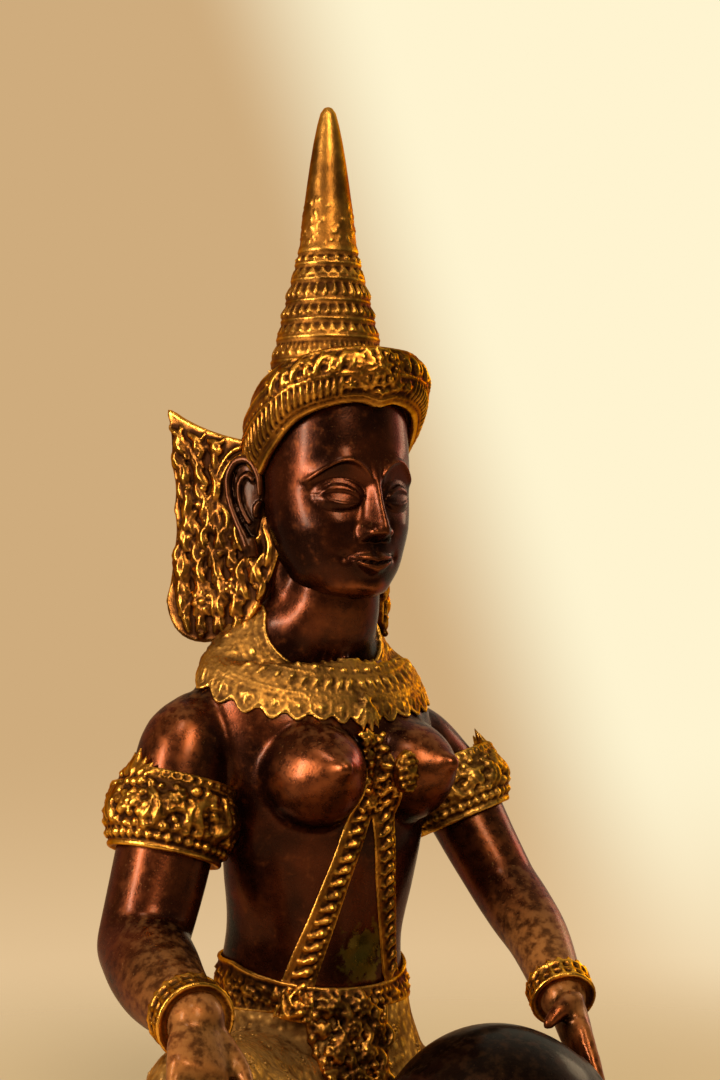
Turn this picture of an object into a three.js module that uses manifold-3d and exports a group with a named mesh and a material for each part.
// A cast bronze drummer, about 300 mm tall: a seated court musician in a tall tiered crown, playing a barrel
// drum that lies before the crossed legs, all on a low stepped base.
// Millimetres, +Z up. The origin is the middle of the base's underside, and the figure faces -Y, so its left is +X.

import * as THREE from "three";
import { mergeVertices } from "three/addons/utils/BufferGeometryUtils.js";
import Module from "manifold-3d";

const wasm = await Module();
wasm.setup();

// Driving dimensions

const TOTAL_HEIGHT = 300;
const BASE = { width: 178, depth: 146, height: 8, corner: 9 };
const NECK_BEHIND_CENTRE = 31; // the upright axis through neck and crown stands this far behind the origin
const SEAM = 0.3; // gap left between pieces that touch
const HEAD_TURN = -5; // degrees about the upright axis: the head looks a little to its right
const RELIEF = 1.2; // how far jewellery stands out from the skin

const DRUM = { left: 2.5, ahead: 67, up: 34.2, belly: 27.8, head: 17, halfLength: 25, hoop: 1.2, hoopWidth: 4 };
const CROWN = { foot: 220, cone: 227, coneTop: 260.5, coneRadius: 15.6, topRadius: 8.6, tiers: 7 };
const WING = { thickness: 3, flare: 30, rootLeft: 18.5, rootAhead: -3 };

// Places are given from the neck axis: millimetres to the figure's left, ahead of it, and above the table.
const place = (left, ahead, up) => new THREE.Vector3(left, NECK_BEHIND_CENTRE - ahead, up);
const ACROSS = new THREE.Vector3(1, 0, 0);
const UPRIGHT = new THREE.Vector3(0, 0, 1);

// Solids

// A three.js geometry as a manifold-3d solid. Only the places of its vertices matter.
function solidOf(geometry) {
  const bare = geometry.clone();
  bare.deleteAttribute("normal");
  bare.deleteAttribute("uv");
  const merged = mergeVertices(bare, 1e-3);
  const triVerts = new Uint32Array(merged.index.array);
  const vertProperties = merged.attributes.position.array;
  const made = new wasm.Manifold(new wasm.Mesh({ numProp: 3, vertProperties, triVerts }));
  return made.volume() < 0 ? turnedInsideOut(vertProperties, triVerts) : made;
}

function turnedInsideOut(vertProperties, triVerts) {
  const flipped = triVerts.slice();
  for (let i = 0; i < flipped.length; i += 3) [flipped[i], flipped[i + 1]] = [flipped[i + 1], flipped[i]];
  return new wasm.Manifold(new wasm.Mesh({ numProp: 3, vertProperties, triVerts: flipped }));
}

const joined = (solids) => solids.reduce((whole, next) => whole.add(next));

// A finished solid as a named three.js mesh.
function pieceFrom(solid, name, material) {
  const { vertProperties, triVerts, numProp } = solid.getMesh();
  const geometry = new THREE.BufferGeometry();
  const places = new Float32Array((vertProperties.length / numProp) * 3);
  for (let i = 0; i < places.length / 3; i += 1) {
    places.set(vertProperties.subarray(i * numProp, i * numProp + 3), i * 3);
  }
  geometry.setAttribute("position", new THREE.BufferAttribute(places, 3));
  geometry.setIndex(new THREE.BufferAttribute(triVerts, 1));
  geometry.computeVertexNormals();
  const mesh = new THREE.Mesh(geometry, material);
  mesh.name = name;
  return mesh;
}

// Moves every vertex of a geometry by a function of where it is.
function reshaped(geometry, move) {
  const at = geometry.attributes.position;
  const vertex = new THREE.Vector3();
  for (let i = 0; i < at.count; i += 1) {
    vertex.fromBufferAttribute(at, i);
    const moved = move(vertex);
    at.setXYZ(i, moved.x, moved.y, moved.z);
  }
  return geometry;
}

// A rounded limb or trunk: a capsule bent along its stations. Each station has a place, a half width across,
// and a depth ahead and behind. `across` is the direction that the half width is measured in.
function swept(stations, { sides = 16, rings = 10, caps = 3, across = ACROSS, grow = 0 } = {}) {
  const path = new THREE.CatmullRomCurve3(stations.map((s) => s.at));
  const sizes = new THREE.CatmullRomCurve3(
    stations.map((s) => new THREE.Vector3(s.width, s.front ?? s.width, s.back ?? s.front ?? s.width)),
  );
  return reshaped(new THREE.CapsuleGeometry(1, 1, caps, sides, rings), (v) => {
    const share = THREE.MathUtils.clamp(v.y + 0.5, 0, 1);
    const beyond = v.y + 0.5 - share;
    const along = path.getTangent(share);
    const sideways = across.clone().addScaledVector(along, -across.dot(along)).normalize();
    const backwards = new THREE.Vector3().crossVectors(along, sideways);
    const size = sizes.getPoint(share).addScalar(grow);
    const depth = v.z < 0 ? size.y : size.z;
    const capDepth = Math.min(size.x, size.y, size.z);
    return path
      .getPoint(share)
      .addScaledVector(along, beyond * capDepth)
      .addScaledVector(sideways, v.x * size.x)
      .addScaledVector(backwards, v.z * depth);
  });
}

const station = (left, ahead, up, width, front = width, back = front) => ({
  at: place(left, ahead, up),
  width,
  front,
  back,
});

// A closed band round the body: `centre(turn)` is the middle of its section, `section(turn)` its half thickness
// outwards and half height. A turn of 0 is straight ahead, and a quarter turn is the figure's left.
function band(centre, section, { sides = 8, steps = 32, middle = place(0, 0, 0), tilt = UPRIGHT } = {}) {
  return reshaped(new THREE.TorusGeometry(2, 1, sides, steps), (v) => {
    const turn = Math.atan2(v.x, v.y);
    const outward = Math.hypot(v.x, v.y) - 2;
    const { thick, high } = section(turn);
    const at = centre(turn);
    const away = at.clone().sub(middle);
    away.addScaledVector(tilt, -away.dot(tilt)).normalize();
    return at.addScaledVector(away, outward * thick).addScaledVector(tilt, v.z * high);
  });
}

// A ring round a limb, square to the limb's direction.
function cuff(at, along, radius, thick, high, { sides = 6, steps = 12, squash = 1 } = {}) {
  const axis = along.clone().normalize();
  const sideways = ACROSS.clone().addScaledVector(axis, -ACROSS.dot(axis)).normalize();
  const backwards = new THREE.Vector3().crossVectors(axis, sideways);
  const centre = (turn) =>
    at
      .clone()
      .addScaledVector(sideways, Math.sin(turn) * radius)
      .addScaledVector(backwards, Math.cos(turn) * radius * squash);
  return solidOf(band(centre, () => ({ thick, high }), { sides, steps, middle: at, tilt: axis }));
}

const ellipsoid = (at, width, depth, height, sides = 18, rings = 10) =>
  solidOf(
    new THREE.SphereGeometry(1, sides, rings)
      .rotateX(Math.PI / 2)
      .scale(width, depth, height)
      .translate(at.x, at.y, at.z),
  );

const box = (at, width, depth, height) =>
  solidOf(new THREE.BoxGeometry(width, depth, height).translate(at.x, at.y, at.z));

// A solid of revolution about the upright axis. The outline runs from the axis back to the axis.
const turned = (outline, steps = 16) => new THREE.LatheGeometry(outline, steps).rotateX(Math.PI / 2);

// The trunk, from the seat to inside the head. Rows: up, ahead, half width, depth ahead, depth behind.
const TRUNK = [
  [30, -6, 33, 24, 27],
  [42, -6, 31.5, 24, 27],
  [54, -6, 27, 22, 25],
  [66, -7, 25.7, 21, 24],
  [78, -6, 25, 21, 21.5],
  [92, -4, 28.2, 20.5, 19.5],
  [105, -3, 30.4, 22.5, 18.5],
  [118, -4, 33, 24, 17.5],
  [130, -6, 36, 25, 15.5],
  [140, -10, 36, 23, 12.5],
  [147, -12, 33.5, 21.5, 11.5],
  [152, -12, 30, 20, 11],
  [156, -9, 25, 18, 12],
  [160, -5, 19, 16, 13],
  [165, 0, 14.5, 13, 13],
  [173, 3, 13, 12, 12.5],
  [182, 4, 13, 11, 12],
].map(([up, ahead, width, front, back]) => station(0, ahead, up, width, front, back));

// Limbs, each from its root to its end.
const LIMBS = {
  rightUpperArm: [
    station(-37.5, -10, 130, 13),
    station(-41.2, -9.3, 120.5, 12.7),
    station(-44.6, -8.5, 108.5, 12.3),
    station(-50, -7, 92, 11.7),
    station(-55.3, -5, 78, 11.4),
  ],
  rightForearm: [station(-55.3, -5, 78, 11.4), station(-61.5, 16, 70, 10.4), station(-65.5, 36, 66, 7.6)],
  leftUpperArm: [
    station(37.5, -10, 127, 12.2),
    station(48.6, -4, 111, 11.2),
    station(51, 4, 98, 10.3),
    station(51, 13, 87, 9.4),
  ],
  leftForearm: [station(51, 13, 87, 9.4), station(47.9, 32, 74, 8.4), station(39.8, 50, 62.5, 6.6)],
  rightThigh: [station(-18, 0, 32, 20), station(-40, 15, 38, 18), station(-60, 33, 45, 16)],
  leftThigh: [station(20, 0, 28, 16), station(42, 15, 23, 15.5), station(63, 30, 21, 13)],
  rightShin: [
    station(-60, 33, 42, 14.5),
    station(-32, 32, 33, 12),
    station(-4, 29, 25, 9),
    station(15, 31.5, 19.5, 8),
  ],
  leftShin: [
    station(61, 30, 20, 12),
    station(34, 27, 19, 10.5),
    station(6, 20, 18, 9),
    station(-10, 18, 17, 8),
  ],
  rightFoot: [station(12, 33, 20, 8, 7), station(26, 37, 17, 7, 8), station(44, 41, 14.5, 5, 7.5)],
};

// A hand: a flat palm from the wrist to the knuckles, four fingers side by side, and a thumb.
function hand({ wrist, knuckles, tips, thumbTip, spread, palmWidth }) {
  const sidewise = spread.clone().normalize();
  const parts = [
    swept(
      [
        { at: wrist, width: palmWidth * 0.62, front: 4.4 },
        { at: knuckles, width: palmWidth, front: 3 },
      ],
      { sides: 10, rings: 2, caps: 2, across: sidewise },
    ),
  ];
  const fingers = 4;
  for (let i = 0; i < fingers; i += 1) {
    const offset = ((i + 0.5) / fingers - 0.5) * 2 * palmWidth;
    const root = knuckles.clone().addScaledVector(sidewise, offset);
    const tip = tips.clone().addScaledVector(sidewise, offset * 1.1);
    const reach = 1 - 0.08 * Math.abs(i - 1.4);
    tip.lerp(root, 1 - reach);
    const bend = root.clone().lerp(tip, 0.5).add(knuckles.clone().sub(wrist).setLength(1.6));
    parts.push(
      swept(
        [
          { at: root, width: 2.6 },
          { at: bend, width: 2.4 },
          { at: tip, width: 1.9 },
        ],
        { sides: 6, rings: 2, caps: 1, across: sidewise },
      ),
    );
  }
  const thumbRoot = wrist.clone().lerp(knuckles, 0.35).addScaledVector(sidewise, palmWidth * 0.6);
  parts.push(
    swept(
      [
        { at: thumbRoot, width: 3 },
        { at: thumbTip, width: 2.1 },
      ],
      { sides: 6, rings: 1, caps: 1, across: sidewise },
    ),
  );
  return joined(parts.map(solidOf));
}

function rightHand() {
  return hand({
    wrist: place(-65.5, 37, 66),
    knuckles: place(-71.5, 46, 56),
    tips: place(-75.5, 52, 38),
    thumbTip: place(-56, 51, 59),
    spread: new THREE.Vector3(0.83, 0.55, 0.05),
    palmWidth: 7.6,
  });
}

function leftHand() {
  return hand({
    wrist: place(39.2, 51.3, 61.7),
    knuckles: place(36, 62, 52),
    tips: place(33.6, 72, 34),
    thumbTip: place(28, 51, 56),
    spread: new THREE.Vector3(-0.25, 0.93, -0.25),
    palmWidth: 7,
  });
}

// The head: a smooth egg that narrows to the chin, with nose, lips and lidded eyes as plain masses.
function head() {
  const skull = swept(
    [
      station(0, 11, 172, 9.5, 10, 11),
      station(0, 8.3, 178, 16, 15.2, 18),
      station(0, 5.5, 188, 19, 18.6, 23),
      station(0, 4, 199, 19.7, 20.2, 25),
      station(0, 3, 210, 19.2, 20.2, 24.5),
      station(0, 2, 221, 16.5, 16, 19.5),
    ],
    { sides: 16, rings: 8, caps: 3 },
  );
  const nose = swept(
    [station(0, 22.5, 199, 1.7, 1.8), station(0, 24, 191, 2.1, 2.4), station(0, 24.8, 185.5, 3.1, 2.4)],
    { sides: 7, rings: 3, caps: 1 },
  );
  const lips = ellipsoid(place(0, 20.5, 176.5), 6.2, 3.4, 2.6, 10, 5);
  const eyes = [-1, 1].map((side) => ellipsoid(place(side * 8, 20.2, 193.5), 5, 2.9, 2.4, 10, 5));
  return joined([solidOf(skull), solidOf(nose), lips, ...eyes, ear(1), ear(-1)]);
}

function ear(side) {
  return solidOf(
    swept(
      [
        station(side * 18.5, -1, 181.5, 2.2, 2.6),
        station(side * 21.5, -4, 189, 2.4, 5),
        station(side * 22.5, -5, 197, 2.6, 5.4),
        station(side * 21, -3, 201, 2.2, 4),
      ],
      { sides: 8, rings: 5, caps: 1 },
    ),
  );
}

// The flame-edged ornament behind each ear: a cut plate that leans out and back, and rests on the shoulder.
function wing(side) {
  const outline = new THREE.Shape();
  outline.moveTo(-4, 208);
  outline.quadraticCurveTo(14, 209, 29.8, 218.5);
  outline.quadraticCurveTo(27.5, 211, 28.5, 204);
  outline.quadraticCurveTo(26, 198, 27.5, 191);
  outline.quadraticCurveTo(25.5, 185, 28, 178);
  outline.quadraticCurveTo(27.5, 173, 30, 166);
  outline.quadraticCurveTo(28.5, 155, 18, 154.8);
  outline.quadraticCurveTo(6, 157, 1, 171);
  outline.lineTo(-4, 186);
  outline.closePath();
  const plate = new THREE.ExtrudeGeometry(outline, {
    depth: WING.thickness,
    bevelEnabled: false,
    curveSegments: 3,
  });
  plate.translate(0, 0, -WING.thickness / 2).rotateX(Math.PI / 2);
  // the plate's outline now runs along +X and up; it turns until +X points out and back
  const turn = THREE.MathUtils.degToRad(90 - WING.flare);
  plate.rotateZ(turn);
  if (side < 0) plate.scale(-1, 1, 1);
  const root = place(side * WING.rootLeft, WING.rootAhead, 0);
  return solidOf(plate.translate(root.x, root.y, 0));
}

// The crown: stepped tiers that narrow upwards, under a plain spire with a rounded tip.
function crown() {
  const outline = [new THREE.Vector2(0, CROWN.foot - 8), new THREE.Vector2(17.5, CROWN.foot - 8)];
  outline.push(new THREE.Vector2(17, CROWN.cone));
  const tierHeight = (CROWN.coneTop - CROWN.cone) / CROWN.tiers;
  for (let i = 0; i < CROWN.tiers; i += 1) {
    const foot = CROWN.cone + i * tierHeight;
    const radius = THREE.MathUtils.lerp(CROWN.coneRadius, CROWN.topRadius, i / (CROWN.tiers - 1));
    outline.push(new THREE.Vector2(radius, foot + 0.6));
    outline.push(new THREE.Vector2(radius - 0.9, foot + tierHeight));
  }
  const spireFoot = 7.9;
  const tipRadius = 2;
  const steps = 5;
  for (let i = 0; i <= steps; i += 1) {
    const share = i / steps;
    const swell = 0.7 * Math.sin(Math.PI * share);
    const radius = THREE.MathUtils.lerp(spireFoot, tipRadius, share) + swell;
    outline.push(new THREE.Vector2(radius, THREE.MathUtils.lerp(CROWN.coneTop, TOTAL_HEIGHT - 1.5, share)));
  }
  outline.push(new THREE.Vector2(0, TOTAL_HEIGHT));
  const axis = place(0, 0, 0);
  return solidOf(turned(outline).translate(axis.x, axis.y, 0));
}

// The diadem: a padded band over the forehead, deepest at the front, dipping to the ears.
function diadem() {
  const centre = (turn) => {
    const front = Math.cos(turn);
    const up = front > 0 ? 208 + 17 * front ** 1.3 : 208 + 4 * front;
    return place(Math.sin(turn) * 19.8, 4 + front * 20.6, up);
  };
  return solidOf(band(centre, () => ({ thick: 5, high: 9.4 }), { sides: 6, steps: 22, middle: place(0, 4, 0) }));
}

function crownedHead() {
  const axis = place(0, 0, 0);
  return joined([head(), crown(), diadem(), wing(1), wing(-1)])
    .translate([-axis.x, -axis.y, 0])
    .rotate([0, 0, HEAD_TURN])
    .translate([axis.x, axis.y, 0]);
}

// The wide collar: a slightly thicker trunk, kept only inside a ball round the neck.
function collar() {
  const skin = solidOf(swept(TRUNK, { sides: 16, rings: 12, grow: RELIEF }));
  return skin.intersect(ellipsoid(place(0, -1, 161), 39, 31, 31, 16, 9));
}

// Two flat chains from the breastbone to the hips, under a rosette.
function bodyChains() {
  const skin = solidOf(swept(TRUNK, { sides: 16, rings: 12, grow: RELIEF }));
  const chainWidth = 6.5;
  const lean = 0.24; // radians from upright
  const chains = [-1, 1].map((side) =>
    solidOf(
      new THREE.BoxGeometry(chainWidth, 40, 76)
        .translate(0, 0, -38)
        .rotateY(-side * lean)
        .translate(0, place(0, 24, 0).y, 124),
    ),
  );
  const rosette = swept([station(0, 17, 122, 5), station(0, 24, 122, 5)], { sides: 10, rings: 1, caps: 2, across: UPRIGHT });
  return joined([skin.intersect(joined(chains)), solidOf(rosette)]);
}

function breasts() {
  const parts = [];
  for (const side of [-1, 1]) {
    parts.push(ellipsoid(place(side * 17, 11, 120), 14.5, 15.5, 15.5, 14, 8));
    const point = swept([station(side * 15.5, 21, 120, 9.5), station(side * 14.7, 33.8, 120.5, 1.6)], {
      sides: 9,
      rings: 1,
      caps: 1,
      across: UPRIGHT,
    });
    parts.push(solidOf(point));
  }
  return parts;
}

// The belt: a padded band at the hips, dipping at the front, with a long ornament that hangs into the lap.
function belt() {
  const centre = (turn) =>
    place(Math.sin(turn) * 25, -7 + Math.cos(turn) * (Math.cos(turn) > 0 ? 21 : 24), 65 - 3 * Math.cos(turn));
  const ring = band(centre, () => ({ thick: 1.7, high: 4 }), { sides: 6, steps: 18, middle: place(0, -7, 0) });
  const pendant = swept(
    [station(0, 17, 63, 9, 3), station(0, 20, 52, 10.5, 3.5), station(1, 27, 41, 8, 3.5)],
    { sides: 10, rings: 4, caps: 1 },
  );
  return [solidOf(ring), solidOf(pendant)];
}

// Gilt rings: an armlet on each upper arm, a bracelet on each wrist and an anklet.
function limbRings() {
  const ring = (limb, index, radius, thick, high) => {
    const before = limb[index - 1].at;
    const after = limb[Math.min(index + 1, limb.length - 1)].at;
    return cuff(limb[index].at, after.clone().sub(before), radius, thick, high);
  };
  const { rightUpperArm, leftUpperArm, rightForearm, leftForearm, rightShin } = LIMBS;
  return [
    ring(rightUpperArm, 2, 12.2, 3.6, 9.5),
    ring(leftUpperArm, 1, 11.2, 3.2, 9),
    ring(rightForearm, 2, 7.4, 2.6, 3.6),
    ring(leftForearm, 2, 6.6, 2.4, 3.4),
    ring(rightShin, 3, 7.6, 1.8, 2.4),
  ];
}

function seatedFigure() {
  const limb = (name, options) => solidOf(swept(LIMBS[name], options));
  const arm = { sides: 10, rings: 5, caps: 2, across: new THREE.Vector3(1, 0, 0.2) };
  const leg = { sides: 11, rings: 4, caps: 2, across: UPRIGHT };
  const cast = joined([
    solidOf(swept(TRUNK, { sides: 16, rings: 13 })),
    ...breasts(),
    ...["rightUpperArm", "rightForearm", "leftUpperArm", "leftForearm"].map((name) => limb(name, arm)),
    ...["rightThigh", "leftThigh", "rightShin", "leftShin", "rightFoot"].map((name) => limb(name, leg)),
    rightHand(),
    leftHand(),
    crownedHead(),
    collar(),
    bodyChains(),
    ...belt(),
    ...limbRings(),
  ]);
  // the underside is filed flat where it meets the base
  const seat = BASE.height + SEAM;
  return cast.subtract(box(new THREE.Vector3(0, 0, seat - 30), 400, 400, 60));
}

// The drum: a full barrel lying across, a skin at each end behind a raised hoop, and a flat filed underneath.
function barrelDrum() {
  const { belly, head, halfLength, hoop, hoopWidth } = DRUM;
  const bulge = (along) => belly - (belly - head) * (along / halfLength) ** 2;
  const outline = [new THREE.Vector2(0, -halfLength + 0.6), new THREE.Vector2(head - 2, -halfLength + 0.6)];
  outline.push(new THREE.Vector2(head - 1.2, -halfLength));
  const hoopEdge = halfLength - hoopWidth;
  outline.push(new THREE.Vector2(bulge(halfLength) + hoop, -halfLength + 0.6));
  outline.push(new THREE.Vector2(bulge(hoopEdge) + hoop, -hoopEdge));
  const steps = 6;
  for (let i = 0; i <= steps; i += 1) {
    const along = THREE.MathUtils.lerp(-hoopEdge, hoopEdge, i / steps);
    outline.push(new THREE.Vector2(bulge(along), along));
  }
  outline.push(new THREE.Vector2(bulge(hoopEdge) + hoop, hoopEdge));
  outline.push(new THREE.Vector2(bulge(halfLength) + hoop, halfLength - 0.6));
  outline.push(new THREE.Vector2(head - 1.2, halfLength));
  outline.push(new THREE.Vector2(head - 2, halfLength - 0.6));
  outline.push(new THREE.Vector2(0, halfLength - 0.6));
  const at = place(DRUM.left, DRUM.ahead, DRUM.up);
  const barrel = solidOf(new THREE.LatheGeometry(outline, 24).rotateZ(-Math.PI / 2).translate(at.x, at.y, at.z));
  return barrel.subtract(box(new THREE.Vector3(0, 0, BASE.height + SEAM - 30), 400, 400, 60));
}

// The base: three plain steps with rounded corners, the middle one drawn in.
function steppedBase() {
  const slab = (inset, foot, height) => {
    const width = BASE.width / 2 - inset;
    const depth = BASE.depth / 2 - inset;
    const corner = BASE.corner - inset;
    const outline = new THREE.Shape();
    outline.absarc(width - corner, depth - corner, corner, 0, Math.PI / 2);
    outline.absarc(-width + corner, depth - corner, corner, Math.PI / 2, Math.PI);
    outline.absarc(-width + corner, -depth + corner, corner, Math.PI, 1.5 * Math.PI);
    outline.absarc(width - corner, -depth + corner, corner, 1.5 * Math.PI, 2 * Math.PI);
    return solidOf(
      new THREE.ExtrudeGeometry(outline, { depth: height, bevelEnabled: false, curveSegments: 3 }).translate(0, 0, foot),
    );
  };
  return joined([slab(0, 0, 3), slab(2.2, 2.9, 2.6), slab(0.8, 5.4, BASE.height - 5.4)]);
}

// The scene

const bronze = new THREE.MeshStandardMaterial({ color: 0x4a2415, roughness: 0.38, metalness: 0.85 });
const darkBronze = new THREE.MeshStandardMaterial({ color: 0x3a1d12, roughness: 0.42, metalness: 0.85 });

const drummer = new THREE.Group();
drummer.add(
  pieceFrom(seatedFigure(), "figure", bronze),
  pieceFrom(barrelDrum(), "drum", darkBronze),
  pieceFrom(steppedBase(), "base", darkBronze),
);

export default drummer;
